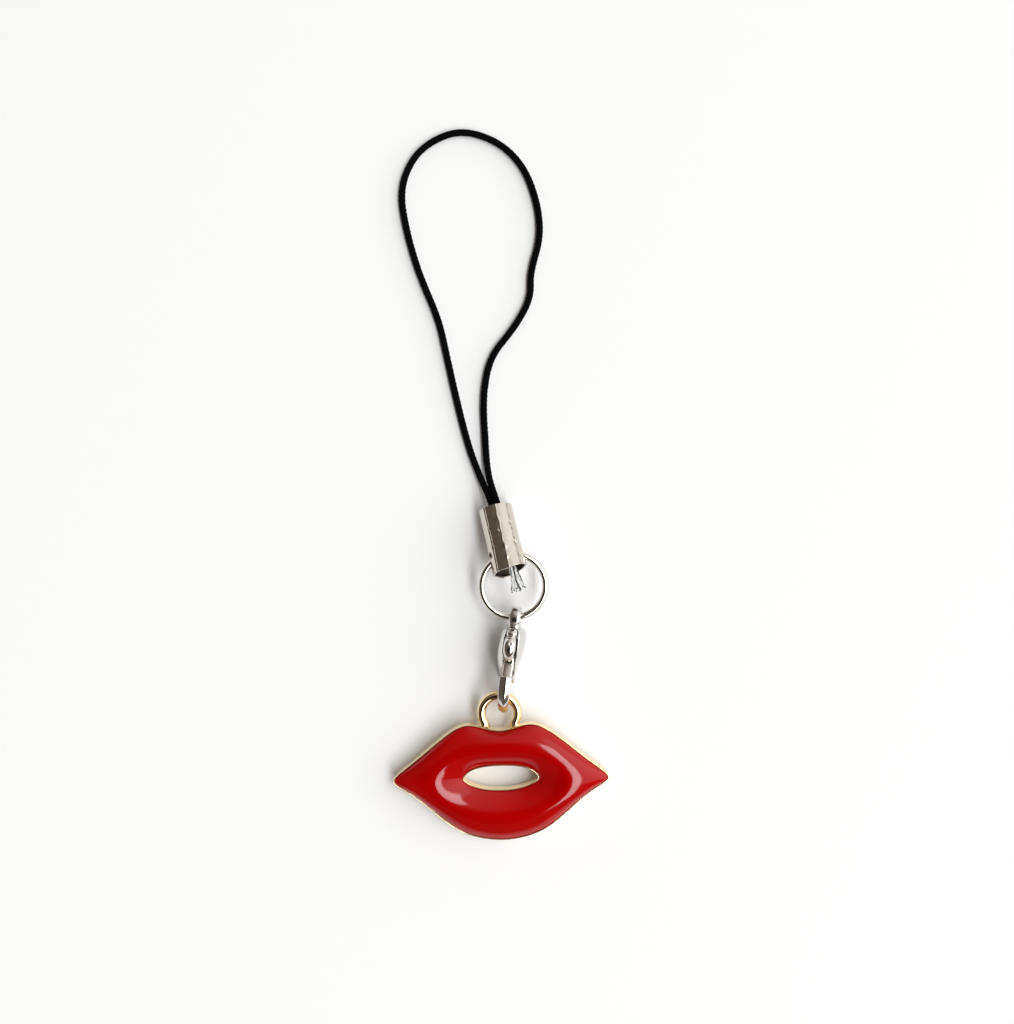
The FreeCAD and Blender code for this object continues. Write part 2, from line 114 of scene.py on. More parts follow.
def add(tree, kind, inputs=None, out=0, **settings):
    """Add a node with its settings and inputs, and return one of its outputs."""
    node = adjust(tree.nodes.new(kind), **settings)
    fill(tree, node, inputs or {})
    return node.outputs[out] if len(node.outputs) else None

# %% [markdown]
# Colours and numbers are worked out by a handful of nodes, and each of these functions adds one.

# %% Colours and numbers
def ramp(tree, factor, stops):
    """A colour ramp with the given (position, colour) stops."""
    output = add(tree, "ShaderNodeValToRGB", {"Fac": factor})
    elements = output.node.color_ramp.elements
    while len(elements) < len(stops):
        elements.new(0.5)
    for element, (position, colour) in zip(elements, stops):
        adjust(element, position=position, color=(*colour, 1))
    return output


def blend(tree, share, first, second):
    """Two colours mixed by a share from 0 to 1."""
    return add(tree, "ShaderNodeMix", {0: share, 6: first, 7: second}, 2, data_type="RGBA")


def scaled(tree, value, old, new=(0, 1), **settings):
    """A value taken from its old range to a new one."""
    return add(tree, "ShaderNodeMapRange", dict(enumerate((value, *old, *new))), **settings)


def calc(tree, operation, *values):
    """The result of a math node."""
    return add(tree, "ShaderNodeMath", dict(enumerate(values)), operation=operation)


def times(tree, first, second):
    """One number times another."""
    return calc(tree, "MULTIPLY", first, second)


def vector_calc(tree, operation, *values):
    """The result of a vector math node."""
    out = "Value" if operation == "DOT_PRODUCT" else "Vector"
    return add(tree, "ShaderNodeVectorMath", dict(enumerate(values)), out, operation=operation)


def stretched(tree, vector, number):
    """A vector times a number."""
    return add(tree, "ShaderNodeVectorMath", {0: vector, "Scale": number}, operation="SCALE")

# %% [markdown]
# ## Table and light
# The table is a plain sheet, nearly white. It takes the soft shadows that tell how high each piece
# stands.

# %% Table
FLOOR_HALF = 1.5
FLOOR_LEVEL = -0.02 * MM

corners = [(x * FLOOR_HALF, y * FLOOR_HALF, FLOOR_LEVEL) for x, y in ((-1, -1), (1, -1), (1, 1), (-1, 1))]
floor_mesh = bpy.data.meshes.new("table")
floor_mesh.from_pydata(corners, [], [(0, 1, 2, 3)])
table = show("table", floor_mesh)

white = bpy.data.materials.new("table_white")
white.use_nodes = True
white.node_tree.nodes.clear()
paper = add(white.node_tree, "ShaderNodeBsdfDiffuse", {"Color": (0.97, 0.97, 0.97, 1)})
add(white.node_tree, "ShaderNodeOutputMaterial", {"Surface": paper})
floor_mesh.materials.append(white)

# %% [markdown]
# The room matters as much as the lamps, because most pieces are mirrors. The right side of the room is
# bright, and the left side and the ceiling over the camera are dark brown. A nickel facet that leans left
# therefore shows dark and one that leans right shows cream. Near the horizon the walls fade to pale grey,
# like a studio's backdrop, which only a view from the side shows.

# %% Room
BRIGHT_SIDE = Vector((0.8, 0.5, 0.33)).normalized()
ABOVE = Vector((-0.05, -0.33, 0.94)).normalized()
BACKDROP = (0.8, 0.79, 0.775, 1)
wall_colours = [
    (0, (0.17, 0.14, 0.115)),
    (0.2, (0.12, 0.098, 0.08)),
    (0.45, (0.12, 0.098, 0.08)),
    (0.66, (0.20, 0.165, 0.135)),
    (0.86, (0.86, 0.83, 0.79)),
    (0.95, (1.1, 1.09, 1.07)),
]

room = bpy.data.worlds.new("room")
bpy.context.scene.world = room
room.use_nodes = True
sky = room.node_tree
sky.nodes.clear()
way = add(sky, "ShaderNodeTexCoord", out="Generated")
rightward = vector_calc(sky, "DOT_PRODUCT", way, BRIGHT_SIDE)
walls = ramp(sky, scaled(sky, rightward, (-1, 1)), wall_colours)
upward = vector_calc(sky, "DOT_PRODUCT", way, ABOVE)
ceiling = scaled(sky, upward, (0.8, 0.92), (1, 0.12), interpolation_type="SMOOTHSTEP")
rise = add(sky, "ShaderNodeSeparateXYZ", {0: way}, "Z")
low_down = scaled(sky, rise, (0.06, 0.2), (1, 0), interpolation_type="SMOOTHSTEP")
seen = blend(sky, low_down, walls, BACKDROP)
air = add(sky, "ShaderNodeBackground", {"Color": seen, "Strength": ceiling})
add(sky, "ShaderNodeOutputWorld", {"Surface": air})

# %% [markdown]
# Two lamps light the table. A long strip stands slantwise in front, and its reflection is the curved
# highlight on the enamel. A large window at the right softens the shadows and pulls them to the left.

# %% Lamps
LAMP_COLOUR = (0.96, 0.985, 1)
LAMP_DISTANCE = 1.5


def lamp(name, toward, width, height, roll, level):
    """An oblong lamp that lights the table's middle to a share of plain white."""
    toward = Vector(toward).normalized()
    light = bpy.data.lights.new(name, "AREA")
    adjust(light, shape="RECTANGLE", size=width, size_y=height, color=LAMP_COLOUR)
    light.energy = level * pi ** 2 * LAMP_DISTANCE ** 2 / toward.z
    turn = toward.to_track_quat("Z", "Y") @ Quaternion((0, 0, 1), radians(roll))
    return adjust(show(name, light), location=toward * LAMP_DISTANCE, rotation_euler=turn.to_euler())


strip = lamp("strip", (0.343, -0.266, 0.90), 1.7, 0.34, 39.5, 0.59)
window = lamp("window", (0.787, -0.03, 0.616), 1.9, 1.9, 0, 0.28)
print("room and lamps set")

# %% [markdown]
# ## Where the pieces sit
# Each group of pieces is drawn in its own frame, in millimetres. The hinges of the measured model give
# those frames: a hinge has a place, and its axis is one side of the piece that turns on it.

# %% Frames of the pieces
def frame_from(origin, x_axis, y_hint, local_origin):
    """A frame in millimetres whose given local point lies at a place given in metres."""
    x_axis = Vector(x_axis).normalized()
    z_axis = x_axis.cross(Vector(y_hint)).normalized()
    y_axis = z_axis.cross(x_axis)
    turn = Matrix((x_axis, y_axis, z_axis)).transposed().to_4x4()
    shift = Matrix.Translation(-Vector(local_origin))
    return Matrix.Translation(origin) @ turn @ Matrix.Scale(MM, 4) @ shift


CRIMP_LIFT = radians(16)
RING_FROM_CORD_END = 6.6
RING_CHORD_HEIGHT = 3.3775
EYE_CENTRE = (0, -1.4, 3)
BACK_POINT = (0, -4.5, 0)

ring_hinge = joints["ring_swing"]["pos_m"]
crimp_side = -Vector(joints["ring_swing"]["axis"])
crimp_ahead = Matrix.Rotation(CRIMP_LIFT, 3, -crimp_side) @ Vector((-crimp_side.y, crimp_side.x, 0))
crimp_place = frame_from(ring_hinge, crimp_side, crimp_ahead, (0, -RING_FROM_CORD_END, 0))

clasp_hinge = joints["clasp_swing"]["pos_m"]
clasp_side = Vector(joints["lever_press"]["axis"])
clasp_place = frame_from(clasp_hinge, clasp_side, (-clasp_side.y, clasp_side.x, 0), EYE_CENTRE)

back = mounts["charm_back"]
charm_up = -Vector(back["axis"])
charm_side = Vector((-charm_up.y, charm_up.x, 0)).normalized()
charm_place = frame_from(back["pos_m"], charm_side, charm_up.cross(charm_side), BACK_POINT)

ring_reach = Vector(clasp_hinge) - Vector(ring_hinge)
ring_place = frame_from(ring_hinge, crimp_side, -ring_reach, (0, RING_CHORD_HEIGHT, 0))
for label, at in (("crimp", crimp_place), ("clasp", clasp_place), ("charm", charm_place)):
    print(label, "frame at, mm:", [round(v / MM, 2) for v in at.translation])

# %% [markdown]
# Most metal pieces are drawn as rows of points with faces between them, in local millimetres.

# %% Mesh helpers
LOCAL = Matrix.Identity(4)


def grid_faces(rows, columns, wrap_rows=False, wrap_columns=True):
    """Four-sided faces over rows of vertices."""
    faces = []
    for row in range(rows if wrap_rows else rows - 1):
        for column in range(columns if wrap_columns else columns - 1):
            ahead = (column + 1) % columns
            above = (row + 1) % rows * columns
            faces.append((row * columns + column, row * columns + ahead, above + ahead, above + column))
    return faces


def tube_faces(rows, columns):
    """Faces over a tube of rings with both ends closed."""
    last = (rows - 1) * columns
    return grid_faces(rows, columns) + [tuple(range(columns)), tuple(range(last, last + columns))]


def shade_smooth(mesh):
    """Shade every face of a mesh as part of a smooth skin."""
    mesh.polygons.foreach_set("use_smooth", [True] * len(mesh.polygons))


def piece(name, vertices, faces, place=LOCAL):
    """A smooth mesh object from local millimetres, with its normals outward."""
    mesh = bpy.data.meshes.new(name)
    mesh.from_pydata([place @ Vector(v) for v in vertices], [], faces)
    work = bmesh.new()
    work.from_mesh(mesh)
    bmesh.ops.remove_doubles(work, verts=work.verts, dist=1e-8)
    bmesh.ops.recalc_face_normals(work, faces=work.faces)
    work.to_mesh(mesh)
    work.free()
    shade_smooth(mesh)
    return show(name, mesh)

# %% [markdown]
# Rounding, joining and cutting are modifiers, and each is made part of the mesh at once.

# %% Modifier helpers
ROUNDING = 2


def modify(holder, kind, **settings):
    """Add a modifier to an object."""
    return adjust(holder.modifiers.new(kind, kind), **settings)


def settle(holder):
    """Make the modifiers of an object part of its mesh."""
    graph = bpy.context.evaluated_depsgraph_get()
    made = bpy.data.meshes.new_from_object(holder.evaluated_get(graph), depsgraph=graph)
    made.name = holder.name
    holder.modifiers.clear()
    holder.data = made
    return holder


def rounder(holder):
    """Round a coarse mesh by subdividing it."""
    modify(holder, "SUBSURF", levels=ROUNDING, render_levels=ROUNDING)
    return settle(holder)


def combine(holder, other, operation):
    """Join another mesh to an object or cut it away, and remove the other."""
    modify(holder, "BOOLEAN", operation=operation, object=other, solver="MANIFOLD")
    settle(holder)
    bpy.data.objects.remove(other)
    return holder


def circle(steps):
    """The cosine and sine of even steps round a circle."""
    return [(cos(2 * pi * i / steps), sin(2 * pi * i / steps)) for i in range(steps)]


def rod(name, radius, length, centre, steps=48):
    """A plain cylinder along the X axis, as a cutting tool or a pin."""
    x, y, z = centre
    ends = (x - length / 2, x + length / 2)
    vertices = [(end, y + radius * c, z + radius * s) for end in ends for c, s in circle(steps)]
    return piece(name, vertices, tube_faces(2, steps))

# %% [markdown]
# ## The cord
# The cord is one length of thin braid, 0.9 mm thick and 110 mm long, and the photograph shows it from end
# to end. Its middle line is a smooth curve through points read from the picture. The two ends rise into
# the crimp tube side by side.

# %% Cord route
cord_points = [
    (-0.42, 18.8, 2.25), (-1.2, 21.4, 1.5), (-2.4, 24, 0.75), (-3.9, 27.8, 0.45), (-5.4, 33.6, 0.45),
    (-6.8, 39.9, 0.45), (-7.7, 44, 0.45), (-10.2, 49.7, 0.45), (-11.8, 55.3, 0.45), (-12.5, 59.9, 0.45),
    (-11.2, 63.7, 0.45), (-8.8, 66.1, 0.45), (-4.9, 67.6, 0.45), (-0.2, 66.1, 0.45), (3, 62.9, 0.45),
    (4.7, 58.2, 0.45), (5, 54, 0.45), (3.7, 49.8, 0.45), (3.8, 46.5, 0.45), (1.6, 42.7, 0.45),
    (-1.3, 39.3, 0.45), (-2.2, 34.3, 0.45), (-1.9, 28.9, 0.45), (-1.6, 24.6, 0.95), (-0.56, 21.5, 1.95),
    (0.25, 19, 2.65),
]
route_curve = adjust(bpy.data.curves.new("cord_route", "CURVE"), dimensions="3D", resolution_u=20)
spline = route_curve.splines.new("NURBS")
spline.points.add(len(cord_points) - 1)
for control, spot in zip(spline.points, cord_points):
    control.co = (*(Vector(spot) * MM), 1)
adjust(spline, order_u=3, use_endpoint_u=True)
route = show("cord_route", route_curve)
drawn_route = route.evaluated_get(bpy.context.evaluated_depsgraph_get())
cord = show("cord_loop_braid", bpy.data.meshes.new_from_object(drawn_route))
bpy.data.objects.remove(route)
cord_path = [v.co.copy() for v in cord.data.vertices]
cord_length = sum((b - a).length for a, b in zip(cord_path, cord_path[1:]))
print("cord length, mm:", round(cord_length / MM, 1))

# %% [markdown]
# Four pieces are drawn by nodes, because each is a line that is copied, wound or bent and then given a
# round section: the braid, the frayed strands, the jump ring and the spring. Their trees begin and end
# alike.

# %% Helpers for shapes from nodes
SOCKETS = {int: "Int", float: "Float", tuple: "Vector", type(None): "Material"}


def node_group(name, inputs):
    """A new tree of geometry nodes, and what its named inputs hand on."""
    tree = bpy.data.node_groups.new(name, "GeometryNodeTree")
    tree.interface.new_socket("Geometry", in_out="INPUT", socket_type="NodeSocketGeometry")
    for label, value in {**inputs, "Material": None}.items():
        kind = "NodeSocket" + SOCKETS[type(value)]
        tree.interface.new_socket(label, in_out="INPUT", socket_type=kind).default_value = value
    tree.interface.new_socket("Geometry", in_out="OUTPUT", socket_type="NodeSocketGeometry")
    return tree, tree.nodes.new("NodeGroupInput").outputs


def run_nodes(holder, tree, values):
    """Run a tree on an object with the given values, and keep the mesh it makes."""
    modifier = modify(holder, "NODES", node_group=tree)
    for socket in tree.interface.items_tree:
        if socket.in_out == "INPUT" and socket.name in values:
            modifier[socket.identifier] = values[socket.name]
    return settle(holder)


def geo(tree, kind, inputs=None, out=0, **settings):
    """Add a node that draws or changes a shape."""
    return add(tree, "GeometryNode" + kind, inputs, out, **settings)


def even_line(tree, mesh, mode, value):
    """The edges of a mesh as a curve with even steps."""
    line = geo(tree, "MeshToCurve", {"Mesh": mesh})
    return geo(tree, "ResampleCurve", {"Curve": line, mode.title(): value}, mode=mode)


def copied(tree, line, count):
    """Copies of a curve, and the number of each."""
    copies = geo(tree, "DuplicateElements", {"Geometry": line, "Amount": count}, domain="SPLINE")
    return copies, copies.node.outputs["Duplicate Index"]


def swept(tree, line, radius, steps):
    """A round wire along a curve, with closed ends."""
    section = geo(tree, "CurvePrimitiveCircle", {"Resolution": steps, "Radius": radius})
    inputs = {"Curve": line, "Profile Curve": section, "Fill Caps": True}
    return geo(tree, "CurveToMesh", inputs)


def joined(tree, *shapes):
    """Several shapes as one."""
    whole = tree.nodes.new("GeometryNodeJoinGeometry")
    for shape in shapes:
        tree.links.new(shape, whole.inputs[0])
    return whole.outputs[0]


def end_nodes(tree, given, shape):
    """Hand a shape out of a tree with smooth faces and the material that was handed in."""
    shape = geo(tree, "SetShadeSmooth", {"Geometry": shape})
    shape = geo(tree, "RealizeInstances", {"Geometry": shape})
    shape = geo(tree, "SetMaterial", {"Geometry": shape, "Material": given["Material"]})
    add(tree, "NodeGroupOutput", {0: shape})

# %% [markdown]
# A braid is two sets of strands that wind round a core in opposite turns and pass over and under each
# other. Each strand is a copy of the middle line, wound on from a start of its own. Where one set lies
# outside, the other lies inside, which the cosine below says.

# %% Braid nodes
braid, braid_in = node_group("braid", {
    "Strands each way": 6, "Turn length": 3.4 * MM, "Winding radius": 0.3 * MM, "Weave height": 0.045 * MM,
    "Strand radius": 0.105 * MM, "Core radius": 0.27 * MM, "Step": 0.085 * MM,
})
middle_line = even_line(braid, braid_in["Geometry"], "LENGTH", braid_in["Step"])
strand_count = braid_in["Strands each way"]
strand_sets = []
for direction in (1, -1):
    copies, number = copied(braid, middle_line, strand_count)
    so_far = geo(braid, "SplineParameter", out="Length")
    turn = times(braid, calc(braid, "DIVIDE", so_far, braid_in["Turn length"]), 2 * pi)
    start = times(braid, calc(braid, "DIVIDE", number, strand_count), 2 * pi)
    angle = calc(braid, "ADD", times(braid, turn, direction), start)
    wave = calc(braid, "COSINE", times(braid, turn, strand_count))
    weave = times(braid, times(braid, wave, braid_in["Weave height"]), direction)
    radius = calc(braid, "ADD", braid_in["Winding radius"], weave)
    normal = geo(braid, "InputNormal")
    side = vector_calc(braid, "CROSS_PRODUCT", geo(braid, "InputTangent"), normal)
    up = stretched(braid, normal, times(braid, calc(braid, "COSINE", angle), radius))
    out = stretched(braid, side, times(braid, calc(braid, "SINE", angle), radius))
    offset = vector_calc(braid, "ADD", up, out)
    strand_sets.append(geo(braid, "SetPosition", {"Geometry": copies, "Offset": offset}))
yarn = swept(braid, joined(braid, *strand_sets), braid_in["Strand radius"], 5)
core = swept(braid, middle_line, braid_in["Core radius"], 10)
end_nodes(braid, braid_in, joined(braid, yarn, core))

# %% [markdown]
# The yarn is matt and nearly black. Noise far finer than a strand gives it a nap, in colour and as
# relief.

# %% Cord mesh
def surface(name):
    """A new material with its shader node and the coordinates of the object it is on."""
    material = bpy.data.materials.new(name)
    material.use_nodes = True
    tree = material.node_tree
    return material, tree, tree.nodes["Principled BSDF"], add(tree, "ShaderNodeTexCoord", out="Object")


def mottle(tree, where, scale, detail):
    """Noise from 0 to 1 at a place."""
    return add(tree, "ShaderNodeTexNoise", {"Vector": where, "Scale": scale, "Detail": detail}, "Fac")


def relief(tree, height, strength, distance):
    """A bent normal, as if the surface rose by the given height."""
    return add(tree, "ShaderNodeBump", {"Height": height, "Strength": strength, "Distance": distance})


def dyed(name, grain, stops, roughness, specular=0.5, ripple=None):
    """A material whose colour follows noise, with a relief where a ripple is given."""
    material, tree, shader, where = surface(name)
    colour = ramp(tree, mottle(tree, where, *grain), stops)
    fill(tree, shader, {"Base Color": colour, "Roughness": roughness, "Specular IOR Level": specular})
    if ripple:
        scale, detail, strength, distance = ripple
        fill(tree, shader, {"Normal": relief(tree, mottle(tree, where, scale, detail), strength, distance)})
    return material


blacks = [(0.35, (0.0008, 0.0008, 0.001)), (0.75, (0.004, 0.004, 0.005))]
cord_black = dyed("cord_black", (9000, 3), blacks, 0.8, 0.06, (9000, 3, 0.5, 0.03 * MM))
run_nodes(cord, braid, {"Material": cord_black})
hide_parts("cord_loop")
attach(cord, "strap")
print("braid triangles:", sum(len(p.vertices) - 2 for p in cord.data.polygons))

# %% [markdown]
# ## The crimp tube
# The tube is thin nickel-plated sheet, rolled round the cord and pressed to eight flats, less sharply on
# the right half. Its seam is underneath. It is drawn as a grid wrapped round the tube's axis, with
# columns close together at the creases, which stay crisp when the grid is rounded. The thickness comes
# after the dents, so that both sides are dented alike.
#
# The mouth is where the sheet was cut. Its rim is uneven, the right edge is shorter than the left one,
# and the corner beside the seam has curled over.

# %% Crimp sheet
CRIMP_CORNER = 2.13
CRIMP_LENGTH = 8.2
FLAT = 45
FLATNESS = 0.15
MORE_FLATNESS = 0.2
ROUND_SHARE = 0.968
SEAM_ANGLE = 3.4
SEAM_CLEAR = 176
CURL_ANGLE = 243
CURL_REACH = 0.26
CURL_DROP = 0.3
TOP_CUT = 0.05
RIGHT_CUT = 0.45
FLARE = 0.055


def bump(value, centre, width):
    """A smooth hill of height one."""
    return exp(-((value - centre) / width) ** 2)


def crimp_point(angle, share):
    """A point of the sheet's outside at an angle round the tube and a share of its length."""
    sine, cosine = sin(radians(angle)), cos(radians(angle))
    flat = (angle + 90) % FLAT - FLAT / 2
    pressed = CRIMP_CORNER * cos(radians(FLAT / 2)) / cos(radians(flat))
    flatness = FLATNESS + MORE_FLATNESS * min(1, max(0, (angle - 82) / 14))
    radius = flatness * pressed + (1 - flatness) * ROUND_SHARE * CRIMP_CORNER
    curled = bump(angle, CURL_ANGLE, 15)
    end = CRIMP_LENGTH - TOP_CUT * max(0, sine) - RIGHT_CUT * max(0, cosine) + CURL_REACH * curled
    length = share * end
    flare = 1 + FLARE * max(0, (length - 4.5) / 3.7) ** 1.6
    mouth = max(0, (share - 0.9) / 0.1)
    radius = radius * flare + 0.05 * mouth ** 2 * bump(angle, 20, 30) - CURL_DROP * curled * mouth ** 2
    around = Vector((cosine, sine, 0.5 * length))
    radius += 0.016 * noise.noise(around) + 0.008 * noise.noise(2.5 * around)
    return radius * cosine, -length, radius * sine


flat_steps = (0, 1.5, 3.5, 8, 15, 22.5, 30, 37, 41.5, 43.5)
angles = [FLAT * flat + step - 90 for flat in range(8) for step in flat_steps]
angles = [angle for angle in angles if abs(angle - 90) < SEAM_CLEAR]
angles = [SEAM_ANGLE - 90] + angles + [270 - SEAM_ANGLE]
shares = [0, 0.008, 0.025] + list(np.linspace(0.06, 0.94, 18)) + [0.97, 0.99, 1]
sheet_points = [crimp_point(angle, share) for share in shares for angle in angles]
sheet_faces = grid_faces(len(shares), len(angles), wrap_columns=False)
crimp = piece("crimp_tube_sheet", sheet_points, sheet_faces)
side_face = crimp.data.polygons[len(angles) * 9 + 40]
if side_face.normal.dot(side_face.center * Vector((1, 0, 1))) < 0:
    crimp.data.flip_normals()
rounder(crimp)
print("crimp sheet faces:", len(crimp.data.polygons))

# %% [markdown]
# Handling has left small nicks along the creases, and the press has left the top crease wavy. They are
# pushed into the fine mesh as small hills. A nick has an angle, a distance from the cord's end, a height
# and a width, and a crease has an angle, a height and a share of darkening. Each point keeps its
# darkening for the finish: dirt, and painted shade on one side of each nick and along the creases.

# %% Crimp nicks
# The dark mark beside each nick is dirt and painted shade on one side of it.
NICK_DIRT_AND_SHADE = 0.3
CREASE_WIDTH = 2.6
nicks = [
    (129, 2.7, 0.09, 0.2), (99, 3.3, 0.09, 0.17), (91, 1.9, 0.05, 0.3), (86, 5.35, 0.05, 0.28),
    (88, 6.7, 0.05, 0.25), (45, 5.1, -0.08, 0.2), (46, 2.6, -0.06, 0.2), (130, 5.2, -0.08, 0.25),
]
# Each crease: angle, height and share of darkening, which is dirt and painted shade.
creases = [(126, 0.04, 0.3), (131, -0.03, 0.9), (88, 0.035, 0), (92, -0.02, 0.5), (46, -0.05, 0.9)]
dirt_and_shade = []
for vertex in crimp.data.vertices:
    local = vertex.co
    angle = degrees(atan2(local.z, local.x))
    worn = noise.noise(Vector((0, 3.1, 2.6 * local.y)))
    astray = 5 * noise.noise(Vector((7.7, 0.4, 1.1 * local.y)))
    push = 0
    dirt_and_shade_here = 0
    for crease, height, crease_darkening in creases:
        ridge = (0.7 + worn) * bump(angle - astray * bump(crease, 90, 9), crease, CREASE_WIDTH)
        push += height * ridge
        dirt_and_shade_here += crease_darkening * ridge
    for at_angle, at_length, height, width in nicks:
        around = radians(angle - at_angle) * CRIMP_CORNER
        past = local.y + at_length
        push += height * exp(-(around ** 2 + past ** 2) / width ** 2)
        dirt_and_shade_here += NICK_DIRT_AND_SHADE * exp(-((around - width) ** 2 + past ** 2) / width ** 2)
    stretch = 1 + push / hypot(local.x, local.z)
    vertex.co = (local.x * stretch, local.y, local.z * stretch)
    dirt_and_shade.append(dirt_and_shade_here)
crimp.data.attributes.new("dirt_and_shade", "FLOAT", "POINT").data.foreach_set("value", dirt_and_shade)

# %% [markdown]
# The sheet now gets its thickness, with a second material inside, and its cut edges are broken a little.
# The side holes for the ring were punched, and the left one has been pulled longer.

# %% Crimp wall and holes
CRIMP_WALL = 0.26
HOLE_RADIUS = 0.62

crimp.data.materials.append(None)
crimp.data.materials.append(None)
modify(crimp, "SOLIDIFY", thickness=CRIMP_WALL, offset=-1, material_offset=1)
modify(crimp, "BEVEL", width=0.05, segments=2, limit_method="ANGLE", angle_limit=radians(60))
settle(crimp)
for centre, radius in (((-2, -6.5, 0), HOLE_RADIUS), ((-2, -5.95, 0.55), 0.6), ((2, -6.55, 0), HOLE_RADIUS)):
    combine(crimp, rod("side_hole", radius, 3, centre), "DIFFERENCE")
crimp.data.transform(crimp_place)

# %% [markdown]
# Nickel plate on rolled sheet is warm and a little dull. The rolls leave fine lengthwise streaks, so the
# noise is turned into the tube's own frame and stretched along it. The darkening that the points have
# kept, dirt and painted shade, is laid over the plate.

# %% Crimp finish
SHEET_GRAIN = 5200


def plated(name, colour, roughness, streak=0, axis_frame=None, grain=2500, cloud=0.04):
    """Polished or rolled plate: metal with faint clouds, and streaks along one frame's Y axis."""
    material, tree, shader, where = surface(name)
    if axis_frame is not None:
        turn = axis_frame.to_3x3().normalized().inverted().to_euler()
        where = add(tree, "ShaderNodeMapping", {"Vector": where, "Rotation": turn})
        where = add(tree, "ShaderNodeMapping", {"Vector": where, "Scale": (1, 0.05, 1)})
    fine = mottle(tree, where, grain, 4)
    wide = mottle(tree, where, grain / 2.5, 2)
    darker = [c * (1 - cloud) for c in colour]
    fill(tree, shader, {
        "Metallic": 1,
        "Base Color": blend(tree, wide, (*darker, 1), (*colour, 1)),
        "Roughness": scaled(tree, fine, (0.3, 0.7), (roughness * 0.85, roughness * 1.15)),
    })
    if streak:
        fill(tree, shader, {"Normal": relief(tree, fine, streak, 0.02 * MM)})
    return material


def overlay(material, share, colour):
    """Lay a second colour over a material's own by a share from 0 to 1."""
    tree = material.node_tree
    shader = tree.nodes["Principled BSDF"]
    own = shader.inputs["Base Color"].links[0].from_socket
    fill(tree, shader, {"Base Color": blend(tree, share, own, (*colour, 1))})


def dress(holder, body, material, stands_for):
    """Give a piece its finish and its body, and hide the measured node that it stands for."""
    if holder.data.materials:
        holder.data.materials[0] = material
    else:
        holder.data.materials.append(material)
    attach(holder, body)
    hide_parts(stands_for)
    print(holder.name, "triangles:", sum(len(p.vertices) - 2 for p in holder.data.polygons))


rolled_nickel = plated("rolled_nickel", (0.74, 0.68, 0.605), 0.2, 0.35, crimp_place, SHEET_GRAIN, 0.2)
# The points' darkening, dirt and painted shade, is laid over the plate.
dirt_and_shade_share = add(rolled_nickel.node_tree, "ShaderNodeAttribute", out="Fac", attribute_name="dirt_and_shade")
overlay(rolled_nickel, dirt_and_shade_share, (0.16, 0.12, 0.09))
dress(crimp, "strap", rolled_nickel, "crimp_tube")
# The darker inside of the sheet is tarnish and painted shade in the tube.
sheet_inside_tarnish_and_shade = plated("sheet_inside_tarnish_and_shade", (0.16, 0.13, 0.10), 0.4, 0.2, crimp_place, SHEET_GRAIN, 0.2)
crimp.data.materials[1] = sheet_inside_tarnish_and_shade

# %% [markdown]
# ## Frayed strands
# The cord's inner strands come out of the tube's mouth as a small silvery tuft. One strand is drawn along
# a line out of the mouth. The nodes copy it, spread the copies more and more towards their ends, crinkle
# them with noise and cut each to its own length. A bead at each tip is yarn that heat has melted. The
# seed is fixed, so the tuft is the same each time.

# %% Strand nodes
tuft, tuft_in = node_group("tuft", {
    "Strands": 13, "Side": (1, 0, 0), "Up": (0, 0, 1), "Root width": 0.2 * MM, "End width": 0.55 * MM,
    "Crinkle": 0.9 * MM, "Radius": 0.085 * MM, "Hook": 0.3 * MM, "Bead radius": 0.1 * MM, "Seed": 8,
})
strand_line = even_line(tuft, tuft_in["Geometry"], "COUNT", 44)
copies, which = copied(tuft, strand_line, tuft_in["Strands"])
along = geo(tuft, "SplineParameter", out="Factor")


def chance(low, high, shift):
    """A fixed random number for each strand."""
    seed = add(tuft, "FunctionNodeIntegerMath", {0: tuft_in["Seed"], 1: shift}, operation="ADD")
    inputs = {2: low, 3: high, "ID": which, "Seed": seed}
    return add(tuft, "FunctionNodeRandomValue", inputs, 1, data_type="FLOAT")


late = calc(tuft, "POWER", along, 2.2)
width = calc(tuft, "ADD", tuft_in["Root width"], times(tuft, late, tuft_in["End width"]))
spot = (times(tuft, along, 9), times(tuft, which, 7.3), times(tuft, tuft_in["Seed"], 1.7))
spot = add(tuft, "ShaderNodeCombineXYZ", dict(enumerate(spot)))
kink = add(tuft, "ShaderNodeTexNoise", {"Vector": spot, "Scale": 1, "Detail": 1}, "Color")
kink = vector_calc(tuft, "SUBTRACT", kink, (0.5, 0.5, 0.5))
kink = stretched(tuft, kink, times(tuft, tuft_in["Crinkle"], along))
row = calc(tuft, "DIVIDE", which, calc(tuft, "SUBTRACT", tuft_in["Strands"], 1))
row = calc(tuft, "ADD", calc(tuft, "MULTIPLY_ADD", row, 2, -1), chance(-0.15, 0.15, 0))
aside = stretched(tuft, tuft_in["Side"], times(tuft, width, row))
lifted = stretched(tuft, tuft_in["Up"], times(tuft, width, chance(-0.4, 0.4, 1)))
curl = times(tuft, calc(tuft, "POWER", along, 9), times(tuft, tuft_in["Hook"], chance(-1, 1, 4)))
bent = vector_calc(tuft, "ADD", kink, stretched(tuft, tuft_in["Side"], curl))
moved = vector_calc(tuft, "ADD", bent, vector_calc(tuft, "ADD", aside, lifted))
spread = geo(tuft, "SetPosition", {"Geometry": copies, "Offset": moved})
trimmed = geo(tuft, "TrimCurve", {"Curve": spread, "End": chance(0.88, 1, 2)}, mode="FACTOR")
